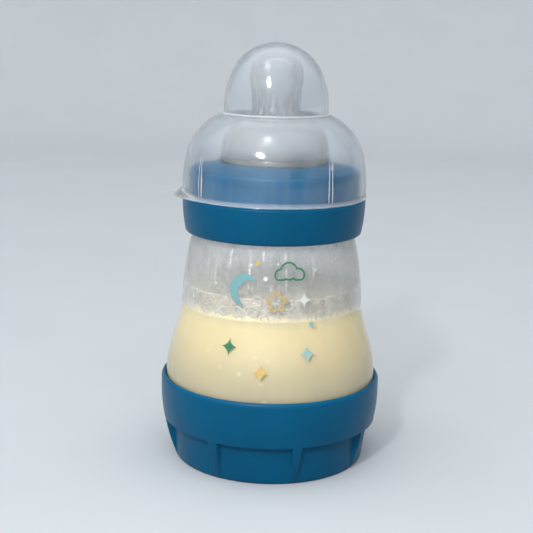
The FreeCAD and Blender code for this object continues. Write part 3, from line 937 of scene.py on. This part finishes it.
def scatter_tree(name, material, make_shape, stretch):
    """Shapes of random size spread over a surface, flat against it and upright."""
    tree, sizes = new_tree(name, {"Density": "Float", "Smallest": "Float", "Largest": "Float", "Seed": "Int"})
    points = add(tree, "GeometryNodeDistributePointsOnFaces", None,
                 {"Mesh": sizes["Geometry"], "Density": sizes["Density"], "Seed": sizes["Seed"]})
    facing = add(tree, "FunctionNodeAlignRotationToVector", None, {"Vector": points.outputs["Normal"]},
                 axis="Z")
    upright = add(tree, "FunctionNodeAlignRotationToVector", {"Vector": (0, 0, 1)},
                  {"Rotation": facing}, axis="Y", pivot_axis="Z")
    size = add(tree, "FunctionNodeRandomValue", None,
               {2: sizes["Smallest"], 3: sizes["Largest"], "Seed": sizes["Seed"]})
    scale = add(tree, "ShaderNodeVectorMath", {0: stretch}, {"Scale": size.outputs[1]}, operation="SCALE")
    spread = add(tree, "GeometryNodeInstanceOnPoints", None,
                 {"Points": points, "Instance": make_shape(tree),
                  "Rotation": upright, "Scale": scale})
    end_tree(tree, spread, material)
    return tree


def drop_shape(tree):
    return add(tree, "GeometryNodeMeshIcoSphere", {"Radius": 1.0, "Subdivisions": 3})


def ring_shape(tree):
    """Ring of radius 1 with a thin round rim."""
    path = add(tree, "GeometryNodeCurvePrimitiveCircle", {"Resolution": 20, "Radius": 1.0})
    rim = add(tree, "GeometryNodeCurvePrimitiveCircle", {"Resolution": 6, "Radius": 0.2})
    tube = add(tree, "GeometryNodeCurveToMesh", None, {"Curve": path, "Profile Curve": rim})
    return tube


def scattered(name, shape, stretch, ground, material, density, smallest, largest, seed):
    """Piece of shapes over a ground, so many to a square metre, with sizes in millimetres."""
    piece = grown(name, scatter_tree(name, material, shape, stretch), ground, {
        "Density": density, "Smallest": smallest * MM, "Largest": largest * MM, "Seed": seed})
    dress(piece, "bottle", material, "froth")


DROP_TOP_Z = 75.0
DROP_STAND_OFF = 0.08

# Turns of long drips inside the wall, with the heights of their ends and their half widths
DRIPS = ((-29, 66.0, 74.5, 0.30), (-15, 62.0, 73.5, 0.22), (-6, 68.5, 73.0, 0.28), (9, 69.0, 71.2, 0.55),
         (9.2, 60.0, 69.0, 0.16), (28, 63.0, 73.0, 0.2), (-40, 60.5, 71.0, 0.2), (163, 61.0, 73.0, 0.28),
         (205, 64.0, 74.0, 0.24))
DRIP_DEPTH = 0.1
DRIP_STEPS = 14
DRIP_SIDES = 10


def make_drips():
    """Long flat drips, wider towards their lower ends."""
    verts, faces = [], []
    for turn, low, high, half in DRIPS:
        first = len(verts)
        for i in range(DRIP_STEPS + 1):
            share = i / DRIP_STEPS
            z = low + (high - low) * share
            swell = math.sqrt(max(1 - (2 * share - 1) ** 2, 0.0004)) * (1.25 - 0.5 * share)
            r = radius_at(inner_side, z) - DRIP_DEPTH
            for j in range(DRIP_SIDES):
                a = math.tau * j / DRIP_SIDES
                aside = math.degrees(half * swell * math.cos(a) / r)
                verts.append(on_circle(r + DRIP_DEPTH * swell * math.sin(a), turn + aside, z))
        faces += grid_faces(DRIP_STEPS + 1, DRIP_SIDES, first=first)
        faces.append(tuple(first + j for j in reversed(range(DRIP_SIDES))))
        faces.append(tuple(first + DRIP_SIDES * DRIP_STEPS + j for j in range(DRIP_SIDES)))
    dress(mesh_object("wall_drips", verts, faces), "bottle", water, "froth")


froth_band = band_of_wall("bubble_ground", froth_z + 0.6, froth_top_z - 0.4, FROTH_GAP / 2)
scattered("froth_bubbles", ring_shape, (1, 1, 0.5), froth_band, bubble_rims, 1.3e5, 0.35, 1.5, 4)
wall_band = band_of_wall("drop_ground", froth_top_z + 0.8, DROP_TOP_Z, DROP_STAND_OFF)
scattered("wall_drops", drop_shape, (1, 1.5, 0.35), wall_band, water, 4.5e4, 0.1, 0.42, 11)
make_drips()

# Print on the front: a moon, a cloud, a star, small sparkles and dots

INK_FILM = 0.05
INK_GAP = 0.01
LINE_WIDTH = 0.55
CLOUD_BASE_Y = -1.7

# Middles and radii of the puffs of the cloud
CLOUD_PUFFS = ((-2.7, -0.3, 1.7), (-0.2, 0.9, 2.5), (2.7, -0.2, 1.8))


def stroke(points):
    """Strip of even width along a closed line of (x, y) points."""
    count = len(points)
    verts, faces = [], []
    for i, (x, y) in enumerate(points):
        j = (i + 1) % count
        along = (Vector(points[j]) - Vector(points[i - 1])).normalized() * LINE_WIDTH / 2
        verts += [(x - along.y, y + along.x), (x + along.y, y - along.x)]
        faces.append((2 * i, 2 * i + 1, 2 * j + 1, 2 * j))
    return verts, faces


def filled(points, rings=4):
    """Sheet from the origin out to a closed line of (x, y) points."""
    count = len(points)
    verts = [(x * k / rings, y * k / rings) for k in range(1, rings + 1) for x, y in points] + [(0, 0)]
    faces = [(count * rings, i, (i + 1) % count) for i in range(count)]
    return verts, faces + grid_faces(rings, count)


def crescent(outer_r, inner_r, offset, tilt, columns=40, rows=5):
    """Sheet inside one circle and outside another that is offset to its right, tilted in degrees."""
    tip_x = (offset ** 2 + outer_r ** 2 - inner_r ** 2) / (2 * offset)
    tip_y = math.sqrt(outer_r ** 2 - tip_x ** 2)
    outer_turn, inner_turn = math.atan2(tip_y, tip_x), math.atan2(tip_y, tip_x - offset)
    lean = math.radians(tilt)
    verts = []
    for i in range(columns + 1):
        share = i / columns
        a = outer_turn + (math.tau - 2 * outer_turn) * share
        b = inner_turn + (math.tau - 2 * inner_turn) * share
        for k in range(rows + 1):
            x = outer_r * math.cos(a) * (1 - k / rows) + (offset + inner_r * math.cos(b)) * k / rows
            y = outer_r * math.sin(a) * (1 - k / rows) + inner_r * math.sin(b) * k / rows
            verts.append((x * math.cos(lean) - y * math.sin(lean), x * math.sin(lean) + y * math.cos(lean)))
    return verts, grid_faces(columns + 1, rows + 1, closed=False)


def around(radius_of, count=96):
    """Closed line of points whose distance from the origin is given for each angle."""
    turns = [math.tau * i / count for i in range(count)]
    return [(radius_of(t) * math.cos(t), radius_of(t) * math.sin(t)) for t in turns]


def cloud_reach(turn):
    """Distance from the origin to the edge of the puffs, or to the flat base below them."""
    far = 0.0
    for x, y, r in CLOUD_PUFFS:
        along = x * math.cos(turn) + y * math.sin(turn)
        room = r * r - (x * x + y * y - along * along)
        if room > 0:
            far = max(far, along + math.sqrt(room))
    if math.sin(turn) < 0:
        far = min(far, CLOUD_BASE_Y / math.sin(turn))
    return far


def soft_star(size):
    """Outline of a five-pointed star with round points."""
    return stroke(around(lambda t: size * (0.76 + 0.24 * math.cos(5 * (t - math.pi / 2)))))


def sparkle(size):
    """Filled four-pointed star with hollow sides."""
    power = 0.62

    def reach(turn):
        return size / (abs(math.cos(turn)) ** power + abs(math.sin(turn)) ** power) ** (1 / power)

    return filled(around(reach, 48))


def dot(size):
    return filled(around(lambda t: size, 24), 2)


def printed(name, motifs, ink):
    """Ink film on the outside of the bottle. A motif is a flat shape, its turn in degrees and its height."""
    film = bmesh.new()
    for (points, faces), turn, z in motifs:
        middle_r = radius_at(body_side, z)
        verts = []
        for x, y in points:
            r = radius_at(body_side, z + y) + INK_GAP
            place = on_circle(r, turn + math.degrees(x / middle_r), z + y)
            verts.append(film.verts.new(Vector(place) * MM))
        for face in faces:
            film.faces.new([verts[i] for i in face])
    bmesh.ops.remove_doubles(film, verts=film.verts, dist=1e-6)
    bmesh.ops.dissolve_degenerate(film, edges=film.edges, dist=1e-7)
    bmesh.ops.recalc_face_normals(film, faces=film.faces)
    for face in film.faces:
        middle = face.calc_center_median()
        if face.normal.x * middle.x + face.normal.y * middle.y < 0:
            face.normal_flip()
    bmesh.ops.solidify(film, geom=film.faces[:], thickness=-INK_FILM * MM)
    mesh = bpy.data.meshes.new(name)
    film.to_mesh(mesh)
    film.free()
    dress(new_object(name, mesh), "bottle", ink, "print_ink")


# Each ink with its two colours and its motifs
PRINTS = (
    ("teal", "#80B6BA", "#8CC0C3", [(crescent(4.7, 4.0, 2.3, -28), -17, 60.5)]),
    ("green", "#337B58", "#3F8A66", [(stroke(around(cloud_reach)), 11, 65.5), (sparkle(2.5), -24, 43.0)]),
    ("ochre", "#D8B770", "#E2C480", [(soft_star(3.2), 3, 57.2), (dot(0.8), -9, 68.6)]),
    ("white", "#F2F2EC", "#FBFBF6", [(sparkle(2.3), 20, 57.6), (dot(0.7), -4, 64.0)]),
    ("orange", "#E6BE68", "#EFCB7C", [(sparkle(2.5), -5, 36.2)]),
    ("pale_blue", "#A2CCC8", "#B0D8D3", [(sparkle(2.5), 21, 41.5), (dot(0.8), 25, 50.0)]))

for colour, dark, light, motifs in PRINTS:
    printed("print_" + colour, motifs, screen_ink(colour, dark, light))

# Stage, light and camera

# Sizes of the stage in millimetres: half the floor, and the sheet that rises behind the bottle
FLOOR_HALF = 12000
SHEET_HALF = 2500
SHEET_FOOT_Y = 900
SHEET_BEND_R = 600
SHEET_TOP_Z = 2200
SHEET_STEPS = 60

# What light that scatters back up from the stage meets, darker than the paper that is seen
BOUNCE_COLOUR = "#70767C"

# Places of the lamp and the camera in metres, the lamp's power in watts and the camera's angles in degrees
WINDOW_DIRECTION = (-0.25, -0.85, 0.50)
LAMP_PLACE = (-0.15, -0.46, 0.40)
LAMP_TARGET = (0, 0, 0.065)
LAMP_SIZE = 0.055
LAMP_POWER = 1.1
CAMERA_PLACE = (0, -0.3529, 0.1375)
CAMERA_YAW = 0.31
CAMERA_PITCH = 12.09
CAMERA_ROLL = 1.31
FOCAL_PX = 1120.1
FRAME_PX = 533
SENSOR_WIDTH = 36


def make_stage():
    """Wide pale floor, and a sheet that curves up from it as a backdrop."""
    corners = [(x * FLOOR_HALF, y * FLOOR_HALF, 0) for x, y in ((-1, -1), (1, -1), (1, 1), (-1, 1))]
    floor = mesh_object("studio_floor", corners, [(0, 1, 2, 3)])
    bends = [math.radians(90 * i / SHEET_STEPS) for i in range(SHEET_STEPS + 1)]
    rise = [(SHEET_FOOT_Y + SHEET_BEND_R * math.sin(a), SHEET_BEND_R * (1 - math.cos(a))) for a in bends]
    rise.append((SHEET_FOOT_Y + SHEET_BEND_R, SHEET_TOP_Z))
    verts = [(x, y, z) for y, z in rise for x in (-SHEET_HALF, SHEET_HALF)]
    sheet = mesh_object("studio_sheet", verts, grid_faces(len(rise), 2, closed=False))
    made, tree, shader, place = new_material("painted_paper_sheet", Roughness=0.9)
    pale = mottled(tree, shader, place, 60, "#C9CED2", "#CCD1D5")
    ray = add(tree, "ShaderNodeLightPath").outputs
    direct = add(tree, "ShaderNodeMath", None, {0: ray["Is Camera Ray"], 1: ray["Is Glossy Ray"]},
                 operation="MAXIMUM")
    seen = add(tree, "ShaderNodeMath", None, {0: direct, 1: ray["Is Transmission Ray"]},
               operation="MAXIMUM")
    paper = add(tree, "ShaderNodeMix", {6: linear(BOUNCE_COLOUR)}, {0: seen, 7: pale}, data_type="RGBA")
    feed(shader, "Base Color", paper.outputs[2])
    for piece in (floor, sheet):
        piece.data.materials.append(made)


def make_room_light():
    """Soft light that is strongest overhead and weaker from the right, with a window at the front left."""
    world = bpy.data.worlds.new("studio_light")
    world.use_nodes = True
    tree = world.node_tree
    direction = add(tree, "ShaderNodeTexCoord").outputs["Generated"]
    parts = add(tree, "ShaderNodeSeparateXYZ", links={"Vector": direction})
    overhead = add(tree, "ShaderNodeMapRange",
                   {"From Min": 0.2, "From Max": 1.0, "To Min": 0.42, "To Max": 1.75},
                   {"Value": parts.outputs["Z"]}, interpolation_type="SMOOTHSTEP")
    shaded = add(tree, "ShaderNodeMapRange",
                 {"From Min": -0.2, "From Max": 0.9, "To Min": 1.0, "To Max": 0.66},
                 {"Value": parts.outputs["X"]}, interpolation_type="SMOOTHSTEP")
    room = add(tree, "ShaderNodeMath", None, {0: overhead, 1: shaded}, operation="MULTIPLY")
    towards = add(tree, "ShaderNodeVectorMath", {1: Vector(WINDOW_DIRECTION).normalized()}, {0: direction},
                  operation="DOT_PRODUCT")
    window = add(tree, "ShaderNodeMapRange",
                 {"From Min": 0.70, "From Max": 0.98, "To Min": 0.0, "To Max": 0.7},
                 {"Value": towards.outputs["Value"]}, interpolation_type="SMOOTHSTEP")
    level = add(tree, "ShaderNodeMath", None, {0: room, 1: window}, operation="ADD")
    background = tree.nodes["Background"]
    background.inputs["Color"].default_value = linear("#F4F6F8")
    feed(background, "Strength", level)
    bpy.context.scene.world = world


def make_lamp():
    """Small lamp for the glints."""
    data = bpy.data.lights.new("key_lamp", "AREA")
    data.shape = "DISK"
    data.size = LAMP_SIZE
    data.energy = LAMP_POWER
    lamp = new_object("key_lamp", data)
    lamp.location = LAMP_PLACE
    lamp.rotation_euler = (Vector(LAMP_TARGET) - Vector(LAMP_PLACE)).to_track_quat("-Z", "Y").to_euler()


def make_camera():
    """Camera where the photograph was taken from, fitted to the rims of the bottle in a square frame."""
    data = bpy.data.cameras.new("photo_camera")
    data.sensor_width = SENSOR_WIDTH
    data.lens = FOCAL_PX * SENSOR_WIDTH / FRAME_PX
    camera = new_object("photo_camera", data)
    yaw = Matrix.Rotation(math.radians(CAMERA_YAW), 4, "Z")
    pitch = Matrix.Rotation(math.pi / 2 - math.radians(CAMERA_PITCH), 4, "X")
    roll = Matrix.Rotation(math.radians(CAMERA_ROLL), 4, "Z")
    camera.matrix_world = Matrix.Translation(CAMERA_PLACE) @ yaw @ pitch @ roll
    bpy.context.scene.camera = camera


make_stage()
make_room_light()
make_lamp()
make_camera()
bpy.context.scene.view_settings.view_transform = "Standard"
